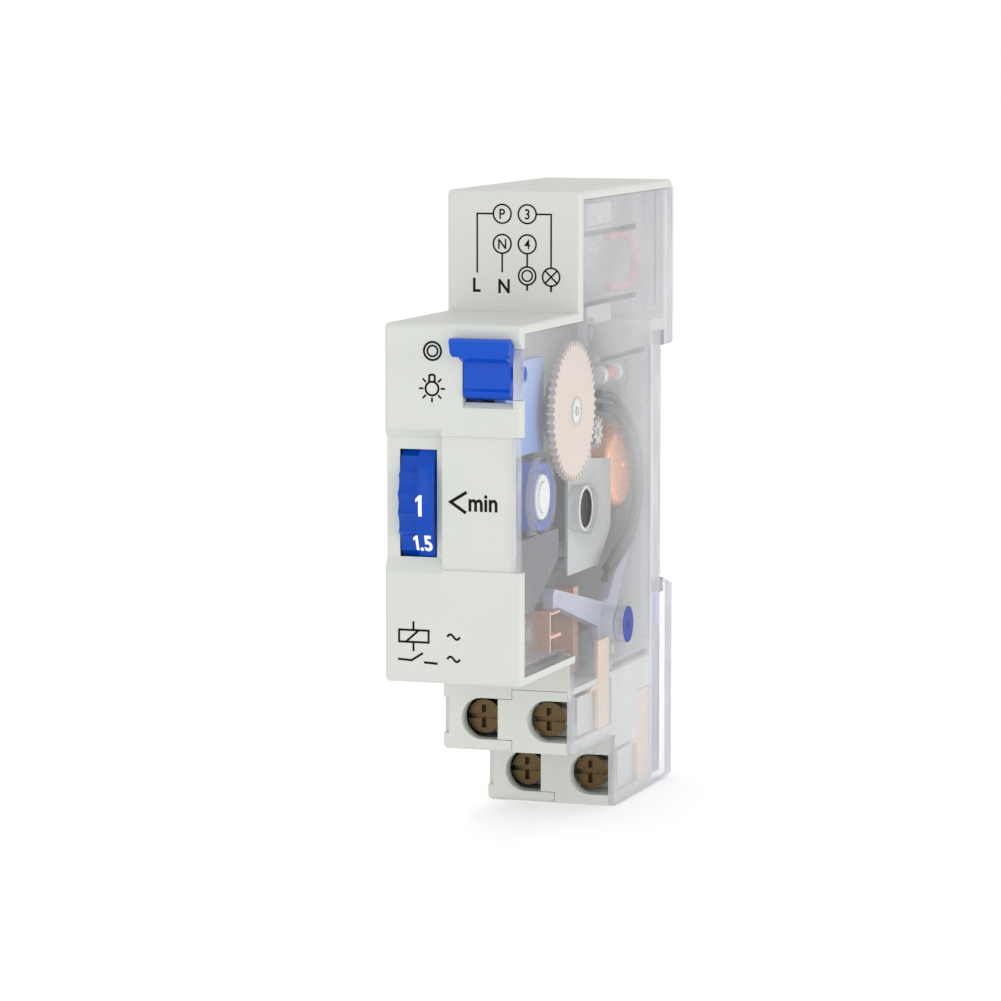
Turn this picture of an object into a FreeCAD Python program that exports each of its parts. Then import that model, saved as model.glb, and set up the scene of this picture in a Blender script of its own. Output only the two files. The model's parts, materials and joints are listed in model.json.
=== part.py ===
"""Stairwell light timer for a 35 mm rail, one module wide.

The frame: origin at the middle of the face that seats on the rail, X across the width,
-Y towards the front of the panel, +Z up.
"""
import FreeCAD
import Part
import Sketcher
import math
import os
import re

SIZES = {
    # casing outline, seen from the side: reach is towards the front, drop is downwards
    "case_width": 18,
    "nose_reach": 60,
    "head_reach": 36,
    "upper_step": 38,
    "lower_step": 20,
    "hook_reach": 6,
    "head_top": 38,
    "nose_half": 22.5,
    "upper_drop": 34.4,
    "lower_drop": 44,
    "foot_drop": 43.6,
    "lip_half": 15.7,
    "rail_half": 17.8,
    "rail_slot": 1.4,
    "foot_shoulder": 17.3,
    "shell_wall": 1.2,
    "rim_wall": 1.1,
    "cover_wall": 1.1,
    "fit_gap": 0.06,
    "carrier_left": 0.45,
    "carrier_seam": 26.2,
    "seat_half": 15.3,
    "seat_relief": 0.2,
    "corner_round": 0.8,
    "edge_round": 0.45,
    "rear_round": 2,
    "cover_round": 0.3,
    # front face: windows, dish and panel
    "panel_left": 1.5,
    "panel_top": 8.6,
    "panel_bottom": 8.2,
    "panel_sink": 0.25,
    "dish_sink": 1,
    "tab_low": 13.2,
    "tab_high": 19.6,
    # time wheel
    "wheel_reach": 47.4,
    "wheel_radius": 13.2,
    "wheel_clearance": 13.42,
    "wheel_left": 7.1,
    "wheel_right": 2.6,
    "hub_radius": 4.3,
    "hub_end": 7.6,
    "axle_radius": 1.9,
    # selector
    "rocker_reach": 58.3,
    "rocker_height": 16.4,
    "rocker_radius": 3.3,
    "rocker_left": 1.5,
    "rocker_right": 7.6,
    "pivot_radius": 0.9,
    "crank_reach": 5.53,
    "crank_fall": 1.74,
    "running_gap": 0.05,
    # gear train: centres as reach and height, then tooth sizes
    "main_reach": 33.6,
    "main_height": 9.7,
    "rotor_reach": 28,
    "rotor_height": -3.5,
    "second_reach": 23.75,
    "second_height": 6.1,
    "first_reach": 20.98,
    "first_height": -0.87,
    "pinion_teeth": 10,
    "wheel_teeth": 40,
    "main_teeth": 50,
    "fine_module": 0.3,
    "main_module": 0.35,
    "arbor_radius": 0.5,
    "main_low": 6.6,
    "main_high": 7.5,
    # motor
    "coil_reach": 7.7,
    "coil_height": 0.2,
    "coil_radius": 5.7,
    "coil_low": 1.6,
    "coil_high": 5.2,
    "core_radius": 2.2,
    "magnet_radius": 4.4,
    # contact lever and contacts
    "lever_reach": 14.8,
    "lever_height": -20.3,
    "lever_pin": 2.4,
    "leaf_reach": 24,
    "leaf_height": -16,
    # terminals
    "left_screw": -4.05,
    "right_screw": 4.8,
    "upper_screw": -30.2,
    "lower_screw": -39.9,
    "access_radius": 2.7,
    "screw_sink": 2.2,
    "head_radius": 2.2,
    "head_height": 1.8,
    "shank_radius": 1.5,
    "shank_end": 10.2,
    "cage_half": 2.45,
    "cage_front": 6.4,
    "cage_back": 16,
    "cage_wall": 0.35,
    "wire_front": 11,
    "wire_back": 15.2,
    # rail clip
    "clip_half": 7.3,
    "clip_low": 43.2,
}

NODES = []
doc = FreeCAD.newDocument("stairwell_timer")
sheet = doc.addObject("Spreadsheet::Sheet", "dims")
for row, (alias, size) in enumerate(SIZES.items(), 1):
    sheet.set(f"A{row}", alias)
    sheet.set(f"B{row}", str(size))
    sheet.setAlias(f"B{row}", alias)
doc.recompute()


# ---------------------------------------------------------------- helpers

def cell(size):
    """A size in words, such as 'case_width / 2', as an expression that reads the sheet."""
    def named(word):
        return "dims." + word.group(0) if word.group(0) in SIZES else word.group(0)
    return re.sub(r"[a-z_]+", named, str(size))


def amount(size):
    """The present value of a size in words."""
    return float(sheet.evalExpression(cell(size)))


def place(thing, x="0", y="0", z="0"):
    for axis, size in zip("xyz", (x, y, z)):
        thing.setExpression(f"Placement.Base.{axis}", cell(size))
    return thing


def box(name, x, y, z):
    """A block between two corners: x, y and z are each a pair, low and high."""
    block = doc.addObject("Part::Box", name)
    for field, (low, high) in zip(("Length", "Width", "Height"), (x, y, z)):
        block.setExpression(field, cell(f"({high}) - ({low})"))
    return place(block, x[0], y[0], z[0])


def rod_x(name, radius, x, y, z):
    """A cylinder along X between the pair x, its axis at y and z."""
    rod = doc.addObject("Part::Cylinder", name)
    rod.setExpression("Radius", cell(radius))
    rod.setExpression("Height", cell(f"({x[1]}) - ({x[0]})"))
    rod.Placement.Rotation = FreeCAD.Rotation(FreeCAD.Vector(0, 1, 0), 90)
    return place(rod, x[0], y, z)


def rod_y(name, radius, x, y, z):
    """A cylinder along Y between the pair y, its axis at x and z."""
    rod = doc.addObject("Part::Cylinder", name)
    rod.setExpression("Radius", cell(radius))
    rod.setExpression("Height", cell(f"({y[1]}) - ({y[0]})"))
    rod.Placement.Rotation = FreeCAD.Rotation(FreeCAD.Vector(1, 0, 0), -90)
    return place(rod, x, y[0], z)


def ring_x(name, outer, inner, x, y, z):
    """A tube along X."""
    return cut(name, rod_x(name + "_outside", outer, x, y, z),
               [rod_x(name + "_inside", inner, (f"({x[0]}) - 1", f"({x[1]}) + 1"), y, z)])


def fuse(name, pieces):
    joined = doc.addObject("Part::MultiFuse", name)
    joined.Shapes = pieces
    return joined


def cut(name, base, tools):
    whole = doc.addObject("Part::Cut", name)
    whole.Base = base
    whole.Tool = tools[0] if len(tools) == 1 else fuse(name + "_space", tools)
    return whole


def group(name, pieces):
    """Separate solids kept together under one name."""
    bundle = doc.addObject("Part::Compound", name)
    bundle.Links = pieces
    return bundle


def node(label, thing):
    """Name a finished sub-part."""
    thing.Label = label
    NODES.append(thing)
    return thing


def shaped(name, shape):
    """A feature whose form is made with Part's own functions."""
    feature = doc.addObject("Part::Feature", name)
    feature.Shape = shape
    return feature


def side_sketch(body, name, outline, x):
    """A closed outline of (y, z) corners on the body's YZ plane, moved to x."""
    plane = [item for item in body.Origin.OriginFeatures if item.Role == "YZ_Plane"][0]
    sketch = body.newObject("Sketcher::SketchObject", name)
    sketch.AttachmentSupport = (plane, [""])
    sketch.MapMode = "FlatFace"
    sketch.setExpression("AttachmentOffset.Base.z", cell(x))
    corners = [FreeCAD.Vector(amount(y), amount(z), 0) for y, z in outline]
    for start, end in zip(corners, corners[1:] + corners[:1]):
        sketch.addGeometry(Part.LineSegment(start, end), False)
    for index in range(len(outline)):
        following = (index + 1) % len(outline)
        sketch.addConstraint(Sketcher.Constraint("Coincident", index, 2, following, 1))
    for index, corner in enumerate(outline):
        for kind, size in zip(("DistanceX", "DistanceY"), corner):
            number = sketch.addConstraint(Sketcher.Constraint(kind, -1, 1, index, 1, amount(size)))
            sketch.setExpression(f"Constraints[{number}]", cell(size))
    return sketch


def prism(name, outline, x):
    """A body padded along X from an outline of (y, z) corners."""
    body = doc.addObject("PartDesign::Body", name)
    pad = body.newObject("PartDesign::Pad", name + "_pad")
    pad.Profile = side_sketch(body, name + "_outline", outline, x[0])
    pad.setExpression("Length", cell(f"({x[1]}) - ({x[0]})"))
    doc.recompute()
    return body


def rounded(body, name, radius, chosen):
    """Round the edges of the body that the function chosen picks."""
    tip = body.Tip
    picked = [f"Edge{n}" for n, edge in enumerate(tip.Shape.Edges, 1) if chosen(edge)]
    fillet = body.newObject("PartDesign::Fillet", name)
    fillet.Base = (tip, picked)
    fillet.setExpression("Radius", cell(radius))
    doc.recompute()
    return body


def along_x(edge):
    """Is this a straight edge along X?"""
    start, end = edge.Vertexes[0].Point, edge.Vertexes[-1].Point
    return abs(start.y - end.y) < 1e-6 and abs(start.z - end.z) < 1e-6


def in_plane_x(edge, x):
    return all(abs(vertex.X - x) < 1e-6 for vertex in edge.Vertexes)


# ---------------------------------------------------------------- casing

HALF = "case_width / 2"
INNER = "case_width / 2 - cover_wall"

CASE_OUTLINE = [
    ("-nose_reach", "nose_half"), ("-head_reach", "nose_half"),
    ("-head_reach", "head_top"), ("hook_reach", "head_top"),
    ("hook_reach", "lip_half"), ("rail_slot", "lip_half"),
    ("rail_slot", "rail_half"), ("-seat_relief", "rail_half"),
    ("-seat_relief", "seat_half"), ("0", "seat_half"),
    ("0", "-seat_half"), ("-seat_relief", "-seat_half"),
    ("-seat_relief", "-rail_half"), ("rail_slot", "-rail_half"),
    ("rail_slot", "-lip_half - 0.2"), ("hook_reach", "-foot_shoulder"),
    ("hook_reach", "-foot_drop"), ("-lower_step", "-lower_drop"),
    ("-lower_step", "-upper_drop"), ("-upper_step", "-upper_drop"),
    ("-upper_step", "-nose_half"), ("-nose_reach", "-nose_half"),
]


def cover_outline(gap):
    """The clear cover's outline: inside the rim by a gap, flush with the casing elsewhere."""
    front = f"-nose_reach + shell_wall + {gap}"
    face = "-nose_reach"
    top = f"nose_half - rim_wall - {gap}"
    return [
        (front, top), (front, f"tab_high - {gap}"),
        (face, f"tab_high - {gap}"), (face, f"tab_low + {gap}"),
        (front, f"tab_low + {gap}"), (front, f"panel_top - {gap}"),
        (face, f"panel_top - {gap}"), (face, f"-panel_bottom + {gap}"),
        (front, f"-panel_bottom + {gap}"), (front, f"-nose_half + rim_wall + {gap}"),
        ("-upper_step", f"-nose_half + rim_wall + {gap}"), ("-upper_step", "-upper_drop"),
        ("-lower_step", "-upper_drop"), ("-lower_step", "-lower_drop"),
        ("hook_reach", "-foot_drop"), ("hook_reach", "-foot_shoulder"),
        ("rail_slot", "-lip_half - 0.2"), ("rail_slot", "-rail_half"),
        ("-seat_relief", "-rail_half"), ("-seat_relief", "-seat_half"),
        ("0", "-seat_half"), ("0", "seat_half"),
        ("-seat_relief", "seat_half"), ("-seat_relief", "rail_half"),
        ("rail_slot", "rail_half"), ("rail_slot", "lip_half"),
        ("hook_reach", "lip_half"), ("hook_reach", f"head_top - rim_wall - {gap}"),
        (f"-head_reach + shell_wall + {gap}", f"head_top - rim_wall - {gap}"),
        (f"-head_reach + shell_wall + {gap}", top),
    ]


def near_corner(edge, y, z):
    """Is this edge along X and at the corner y, z of the side view?"""
    point = edge.Vertexes[0].Point
    return along_x(edge) and abs(point.y - amount(y)) < 0.01 and abs(point.z - amount(z)) < 0.01


def corner_test(corners):
    return lambda edge: any(near_corner(edge, y, z) for y, z in corners)


def side_edges(sign):
    """Test for the edges of one side face that lie clear of the rail slots."""
    def chosen(edge):
        if not in_plane_x(edge, sign * amount(HALF)):
            return False
        return all(vertex.Y < -1 or vertex.Z > 21 or vertex.Z < -20 for vertex in edge.Vertexes)
    return chosen


def open_edges(edge):
    """Does this edge lie on the cover's outer face, away from the rim that holds it?"""
    if not in_plane_x(edge, amount(HALF)):
        return False
    return (all(vertex.Z < -amount("nose_half") for vertex in edge.Vertexes)
            or all(vertex.Y > 5 and vertex.Z > 0 and vertex.Z < 30 for vertex in edge.Vertexes))


def casing_blank():
    """The full outer form, before it is hollowed."""
    blank = prism("case_blank", CASE_OUTLINE, ("-" + HALF, HALF))
    soft = [("-nose_reach", "nose_half"), ("-head_reach", "head_top"),
            ("-upper_step", "-upper_drop"), ("-lower_step", "-lower_drop"),
            ("-nose_reach", "-nose_half"), ("hook_reach", "lip_half")]
    rounded(blank, "case_corners", "corner_round", corner_test(soft))
    rounded(blank, "case_rear_corner", "rear_round", corner_test([("hook_reach", "head_top")]))
    rounded(blank, "case_left_edges", "edge_round", side_edges(-1))
    rounded(blank, "case_right_edges", "edge_round", side_edges(1))
    return blank


def access_hole(name, screw, level, step, shift, right):
    """The round-ended slot in front of a screw, open towards +X as far as right."""
    middle = f"{screw} + {shift}"
    depth = (f"-{step} - 0.2", f"-{step} + screw_sink")
    return [
        rod_y(name + "_round", "access_radius", middle, depth, level),
        box(name + "_slot", (middle, right), depth,
            (f"{level} - access_radius", f"{level} + access_radius")),
    ]


def wire_entry(name, screw, level, step, drop):
    """The way in for a wire, from below, into the clamp."""
    half = "(cage_half - cage_wall)"
    return box(name, (f"{screw} - {half}", f"{screw} + {half}"),
               (f"-{step} + wire_front", f"-{step} + wire_back"),
               (f"-{drop} - 0.6", f"{level} - 2.8"))


def chamber(name, x, level, step, drop):
    """The room for a clamp and its screw, with the slot that its bus bar climbs through."""
    return box(name, x, (f"-{step} + screw_sink - 0.1", f"-{step} + 19.6"),
               (f"-{drop} + shell_wall", f"{level} + 3.2"))


TERMINALS = {
    "left_upper": ("left_screw", "upper_screw", "upper_step", "upper_drop"),
    "right_upper": ("right_screw", "upper_screw", "upper_step", "upper_drop"),
    "left_lower": ("left_screw", "lower_screw", "lower_step", "lower_drop"),
    "right_lower": ("right_screw", "lower_screw", "lower_step", "lower_drop"),
}
BAR_TOPS = {
    "left_upper": "-21.4",
    "right_upper": "-21.4",
    "left_lower": "-30.5",
    "right_lower": "-30.5",
}


def bar_slot(name, x, step, top, level):
    return box(name, x, (f"-{step} + 13.4", f"-{step} + 18.8"),
               (f"{level}", f"{top} + 0.2"))


def main_housing():
    mechanism = [
        ("-nose_reach + shell_wall", "nose_half - rim_wall"),
        ("-head_reach + shell_wall", "nose_half - rim_wall"),
        ("-head_reach + shell_wall", "head_top - rim_wall"),
        ("hook_reach - shell_wall", "head_top - rim_wall"),
        ("hook_reach - shell_wall", "rail_half + 1.4"),
        ("-shell_wall", "rail_half + 1.4"),
        ("-shell_wall", "-carrier_seam"),
        ("-upper_step + shell_wall", "-carrier_seam"),
        ("-upper_step + shell_wall", "-nose_half + rim_wall"),
        ("-nose_reach + shell_wall", "-nose_half + rim_wall"),
    ]
    inner_left = "-case_width / 2 + shell_wall"
    past_right = "case_width / 2 + 1"
    dish = [
        ("-nose_reach - 1", "9.4 + 1.3"), ("-nose_reach", "9.4"),
        ("-nose_reach + dish_sink", "8.1"), ("-nose_reach + dish_sink", "-6.8"),
        ("-nose_reach", "-8.6"), ("-nose_reach - 1", "-8.6 - 1.8"),
    ]
    sill = [
        ("-nose_reach - 0.5", "11.7"), ("-nose_reach + 1.3", "13.3"),
        ("-nose_reach - 0.5", "14"),
    ]
    spaces = [
        prism("mechanism_space", mechanism, (inner_left, past_right)),
        prism("cover_seat", cover_outline("0"), (INNER + " - fit_gap", past_right)),
        box("carrier_space", ("carrier_left - fit_gap", past_right),
            ("-upper_step - 1", "-shell_wall"), ("-lower_drop - 1", "-carrier_seam")),
        box("clip_space", (inner_left, past_right), ("0", "hook_reach + 1"),
            ("-lower_drop - 1", "-lip_half + 0.1")),
        prism("dish_space", dish, ("-case_width / 2 - 1", "-panel_left")),
        box("panel_space", ("-panel_left", INNER), ("-nose_reach - 1", "-nose_reach + panel_sink"),
            ("-panel_bottom", "panel_top")),
        box("wheel_window", ("-wheel_left - 0.2", "-wheel_right + 0.2"),
            ("-nose_reach - 0.5", "-nose_reach + 0.9"), ("-6.75", "6.75")),
        rod_x("wheel_space", "wheel_clearance", ("-wheel_left - 0.2", "-wheel_right + 0.2"),
              "-wheel_reach", "0"),
        box("rocker_window", ("rocker_left - 0.2", past_right),
            ("-nose_reach - 1", "-nose_reach + shell_wall + 0.1"), ("tab_low - 0.4", "20")),
        prism("rocker_sill", sill, ("rocker_left - 0.2", INNER)),
        rod_x("rocker_bore", "pivot_radius + running_gap", ("0.1", "2"), "-rocker_reach",
              "rocker_height"),
    ]
    rim_back = box("rocker_rim", (INNER, HALF), ("-nose_reach", "-nose_reach + shell_wall"),
                   ("tab_high", "20.1"))
    sill_back = box("sill_rim", (INNER, HALF), ("-nose_reach", "-nose_reach + shell_wall"),
                    ("tab_low - 0.6", "tab_low"))
    for name, (screw, level, step, drop) in TERMINALS.items():
        if not name.startswith("left"):
            continue
        spaces += access_hole(name + "_access", screw, level, step, "0.3", "carrier_left")
        spaces.append(chamber(name + "_room", (inner_left, "carrier_left"), level, step, drop))
        spaces.append(wire_entry(name + "_entry", screw, level, step, drop))
        spaces.append(bar_slot(name + "_slot", (inner_left, "-7"), step, BAR_TOPS[name], level))
        spaces.append(box(name + "_notch", ("-case_width / 2 - 1", "-case_width / 2 + 0.85"),
                          (f"-{step} - 0.5", f"-{step} + 1.1"),
                          (f"{level} - 2.1", f"{level} + 2.6")))
    shell = cut("hollow_shell", casing_blank(), spaces)
    bearing = cut("rocker_boss", box("rocker_lug", ("0.1", "1.2"),
                                     ("-nose_reach + shell_wall - 0.1", "-rocker_reach + 2"),
                                     ("rocker_height - 2", "rocker_height + 2")),
                  [rod_x("rocker_lug_bore", "pivot_radius + running_gap", ("-0.5", "2"),
                         "-rocker_reach", "rocker_height")])
    lever_boss = ring_x("lever_boss", "2.4", "1.2 + running_gap", (inner_left + " - 0.2", "2.2"),
                        "-lever_reach", "lever_height")
    axle_boss = ring_x("axle_boss", "3.4", "axle_radius + 0.02", (inner_left + " - 0.1", "-7.3"),
                       "-wheel_reach", "0")
    post = [rod_x(f"plate_post_{n}", "1.3", (inner_left + " - 0.2", "-2.3"), y, z)
            for n, (y, z) in enumerate((("-30.5", "16.8"), ("-6", "15.5"), ("-30.5", "-10.5"),
                                        ("-5", "-10.5")))]
    blocks = [
        box("head_block_top", (inner_left + " - 0.2", "5"), ("-20.6", "-10"), ("32.8", "35.6")),
        box("head_block_low", (inner_left + " - 0.2", "5"), ("-20.6", "-10"), ("19.8", "22.4")),
        box("spring_post", (inner_left + " - 0.2", "-3.6"), ("-33.2", "-31.8"), ("-12.5", "-9.5")),
        box("clip_rib", (inner_left + " - 0.2", "-7"), ("2.7", "3.5"), ("-42.6", "-22.8")),
        box("clip_stop", (inner_left + " - 0.2", "1.6"), ("1.6", "4.6"), ("-35.5", "-34")),
        box("lever_rest", (inner_left + " - 0.2", "5.8"), ("-12", "-10.6"), ("-24.8", "-23.6")),
    ]
    solid = fuse("main_housing_solid",
                 [shell, rim_back, sill_back, bearing, lever_boss, axle_boss] + post + blocks)
    return node("main_housing", solid)


def terminal_carrier():
    outline = [
        ("-upper_step", "-carrier_seam - fit_gap"),
        ("-shell_wall - fit_gap", "-carrier_seam - fit_gap"),
        ("-shell_wall - fit_gap", "-lower_drop + 0.25"), ("-lower_step", "-lower_drop"),
        ("-lower_step", "-upper_drop"), ("-upper_step", "-upper_drop"),
    ]
    right = "case_width / 2 - cover_wall - fit_gap"
    blank = prism("carrier_blank", outline, ("carrier_left", right))
    spaces = []
    tongues = []
    for name, (screw, level, step, drop) in TERMINALS.items():
        if name.startswith("right"):
            spaces += access_hole(name + "_access", screw, level, step, "0.35", "9")
            spaces.append(chamber(name + "_room", ("2.1", "9"), level, step, drop))
            spaces.append(wire_entry(name + "_entry", screw, level, step, drop))
            spaces.append(bar_slot(name + "_slot", ("7.1", "9"), step, BAR_TOPS[name], level))
        else:
            low, high = f"{level} - access_radius + fit_gap", f"{level} + access_radius - fit_gap"
            tongues.append(box(name + "_tongue", ("-1.5", "carrier_left + 0.1"),
                               (f"-{step}", f"-{step} + 18.7"), (low, high)))
    whole = fuse("carrier_whole", [blank] + tongues)
    return node("terminal_carrier", cut("carrier_solid", whole, spaces))


def side_cover():
    plate = prism("cover_plate", cover_outline("fit_gap"), (INNER, HALF))
    soft = [("-upper_step", "-upper_drop"), ("-lower_step", "-lower_drop"),
            ("hook_reach", "lip_half"), ("hook_reach", "-foot_drop")]
    rounded(plate, "cover_corners", "corner_round", corner_test(soft))
    rounded(plate, "cover_edges", "cover_round", open_edges)
    inward = "case_width / 2 - cover_wall + 0.1"
    hub_ring = ring_x("hub_ring", "hub_radius + 0.75", "hub_radius + 0.12", ("7", inward),
                      "-wheel_reach", "0")
    main_ring = ring_x("main_ring", "1.9", "0.55", ("7.65", inward), "-main_reach", "main_height")
    rotor_ring = ring_x("rotor_ring", "3.3", "2.75", ("6.6", inward),
                        "-rotor_reach", "rotor_height")
    pegs = [ring_x(f"cover_peg_{n}", "1.9", "0.9", (depth, inward), y, z)
            for n, (y, z, depth) in enumerate((("-27.7", "19.4", "6.4"), ("-53.8", "-16.6", "6.3"),
                                               ("-21", "13", "7.75"), ("-13.4", "13", "7.75")))]
    ribs = [
        box("rib_shelf", ("6.4", inward), ("-24", "-4"), ("15.2", "15.9")),
        box("rib_head_low", ("5.6", inward), ("-33", "-8"), ("22.8", "23.5")),
        box("rib_head_top", ("5.6", inward), ("-33", "-8"), ("31.9", "32.6")),
        box("rib_head_rear", ("5.2", inward), ("0.4", "1.1"), ("21", "36.4")),
        box("rib_rear", ("6.6", inward), ("-1.9", "-1.3"), ("-24", "16")),
        box("rib_step", ("7", inward), ("-18.4", "-3"), ("-25.8", "-25.1")),
        box("rib_lower", ("6.6", inward), ("-58.4", "-38.4"), ("-21.2", "-20.5")),
        box("rib_clip", ("7", inward), ("2.7", "3.5"), ("-42.6", "-22.8")),
    ]
    holes = [
        rod_x("rocker_pin_hole", "pivot_radius + running_gap", ("6", "10"), "-rocker_reach",
              "rocker_height"),
        rod_x("lever_pin_hole", "lever_pin + running_gap", ("6", "10"), "-lever_reach",
              "lever_height"),
    ]
    whole = fuse("cover_whole", [plate, hub_ring, main_ring, rotor_ring] + pegs + ribs)
    return node("side_cover", cut("cover_solid", whole, holes))


# ---------------------------------------------------------------- rail clip

def din_clip():
    outline = [
        ("0.3", "-rail_half - 0.1"), ("rail_slot + 0.2", "-rail_half - 0.1"),
        ("rail_slot + 0.2", "-lip_half - 0.3"), ("hook_reach - 0.4", "-foot_shoulder - 0.3"),
        ("hook_reach - 0.4", "-clip_low"), ("0.3", "-clip_low"),
    ]
    blank = prism("clip_blank", outline, ("-clip_half", "clip_half"))
    spaces = [
        box("clip_window", ("-clip_half - 1", "2.2"), ("-1", "hook_reach + 1"), ("-35.9", "-26")),
        box("clip_groove_left", ("-clip_half - 1", "-6.8"), ("2.5", "3.7"), ("-45", "-19")),
        box("clip_groove_right", ("6.8", "clip_half + 1"), ("2.5", "3.7"), ("-45", "-19")),
        box("driver_slot", ("-2.5", "2.5"), ("2", "hook_reach + 1"), ("-42.2", "-40.6")),
    ]
    return node("din_clip", cut("clip_solid", blank, spaces))


def coil_spring(x, y, low, high, radius, wire):
    """A compression spring that stands along Z."""
    turns = 5
    helix = Part.makeLongHelix((high - low - wire) / turns, high - low - wire, radius)
    start = FreeCAD.Vector(radius, 0, 0)
    profile = Part.Wire([Part.makeCircle(wire / 2, start, FreeCAD.Vector(0, 1, 0))])
    coil = Part.Wire(helix.Edges).makePipeShell([profile], True, False)
    coil.translate(FreeCAD.Vector(x, y, low + wire / 2))
    return coil


# ---------------------------------------------------------------- gears

def gear_blank(teeth, module, phase, bore, x):
    """A spur wheel along X, centred on the X axis, with one tooth at phase degrees."""
    step = 360 / teeth
    tip = module * (teeth / 2 + 0.9)
    root = module * (teeth / 2 - 1.15)
    flank = ((root, -0.31), (tip, -0.13), (tip, 0.13), (root, 0.31))
    points = []
    for tooth in range(teeth):
        for radius, share in flank:
            angle = math.radians(phase + (tooth + share) * step)
            points.append(FreeCAD.Vector(x[0], radius * math.cos(angle), radius * math.sin(angle)))
    face = Part.Face(Part.makePolygon(points + points[:1]))
    wheel = face.extrude(FreeCAD.Vector(x[1] - x[0], 0, 0))
    if bore:
        wheel = wheel.cut(Part.makeCylinder(bore, x[1] - x[0] + 2, FreeCAD.Vector(x[0] - 1, 0, 0),
                                            FreeCAD.Vector(1, 0, 0)))
    return wheel


def shaft_blank(radius, x):
    return Part.makeCylinder(radius, x[1] - x[0], FreeCAD.Vector(x[0], 0, 0),
                             FreeCAD.Vector(1, 0, 0))


def centre(name):
    return FreeCAD.Vector(0, -amount(name + "_reach"), amount(name + "_height"))


def heading(start, end):
    """Direction in degrees from one gear's centre to another's, in the side view."""
    line = centre(end) - centre(start)
    return math.degrees(math.atan2(line.z, line.y))


def wheel_at(name, where, shape):
    feature = shaped(name, shape)
    feature.Placement.Base = centre(where)
    return node(name, feature)


def gear_train():
    pinion = int(amount("pinion_teeth"))
    wheel = int(amount("wheel_teeth"))
    great = int(amount("main_teeth"))
    fine = amount("fine_module")
    coarse = amount("main_module")
    arbor = amount("arbor_radius")
    steps = (("rotor", "first"), ("first", "second"), ("second", "main"))
    mesh = {pair: heading(*pair) for pair in steps}

    def gap_facing(pair, teeth):
        return mesh[pair] + 180 + 180 / teeth

    rotor = gear_blank(pinion, fine, mesh[steps[0]], 0, (-0.25, 0.45))
    rotor = rotor.fuse([shaft_blank(arbor, (-2.2, 6.9)), shaft_blank(0.9, (0.45, 0.7))])
    wheel_at("rotor_shaft", "rotor", rotor)
    magnet = shaft_blank(amount("magnet_radius"), (1.6, 5.2)).cut(shaft_blank(arbor, (1, 6)))
    wheel_at("rotor_magnet", "rotor", magnet)
    cap = shaft_blank(2.4, (5.9, 7.3)).fuse(shaft_blank(1.4, (5.25, 5.9)))
    wheel_at("rotor_cap", "rotor", cap.cut(shaft_blank(arbor, (5, 6.9))))

    first = gear_blank(wheel, fine, gap_facing(steps[0], wheel), arbor, (-0.15, 0.35))
    wheel_at("first_wheel", "first", first)
    arm = gear_blank(pinion, fine, mesh[steps[1]], 0, (-1.35, -0.15))
    wheel_at("first_arbor", "first", arm.fuse(shaft_blank(arbor, (-2.2, 0.65))))

    second = gear_blank(wheel, fine, gap_facing(steps[1], wheel), arbor, (-1.3, -0.75))
    wheel_at("second_wheel", "second", second)
    arm = gear_blank(pinion, coarse, mesh[steps[2]], 0, (6.4, 7.6))
    wheel_at("second_arbor", "second", arm.fuse(shaft_blank(arbor, (-2.2, 7.85))))

    low, high = amount("main_low"), amount("main_high")
    main = gear_blank(great, coarse, gap_facing(steps[2], great), arbor, (low, high))
    main = main.fuse(shaft_blank(1.9, (5.6, 6.6)).cut(shaft_blank(arbor, (5, 7))))
    wheel_at("main_gear", "main", main)
    wheel_at("main_arbor", "main", shaft_blank(arbor, (-2.2, 7.85)))
    cam = shaft_blank(4.5, (4.6, 5.5)).cut([
        shaft_blank(arbor, (4, 6)),
        Part.makeBox(2, 3, 2.4, FreeCAD.Vector(4, 3, -1.2)),
    ])
    wheel_at("cam_disc", "main", cam)


# ---------------------------------------------------------------- motor and movement

def movement_plate():
    outline = [
        ("-33.3", "-12.6"), ("-33.3", "3.4"), ("-36.8", "6.2"), ("-36.8", "13"),
        ("-31.5", "19"), ("-8", "19"), ("-2.4", "14.5"), ("-2.4", "-12.6"),
    ]
    plate = prism("movement_blank", outline, ("-2.2", "-1.6"))
    bores = [rod_x(f"plate_bore_{name}", "arbor_radius + 0.03", ("-3", "0"), f"-{name}_reach",
                   f"{name}_height") for name in ("main", "second", "first", "rotor")]
    return node("movement_plate", cut("movement_solid", plate, bores))


SPACERS = (("-15", "-5.4"), ("-30.2", "-10.6"), ("-16.5", "-10.4"))


def spacer_posts():
    posts = [rod_x(f"spacer_{n}", "0.9", ("-1.6", "5.5"), y, z) for n, (y, z) in enumerate(SPACERS)]
    return node("spacer_posts", group("spacer_group", posts))


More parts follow.
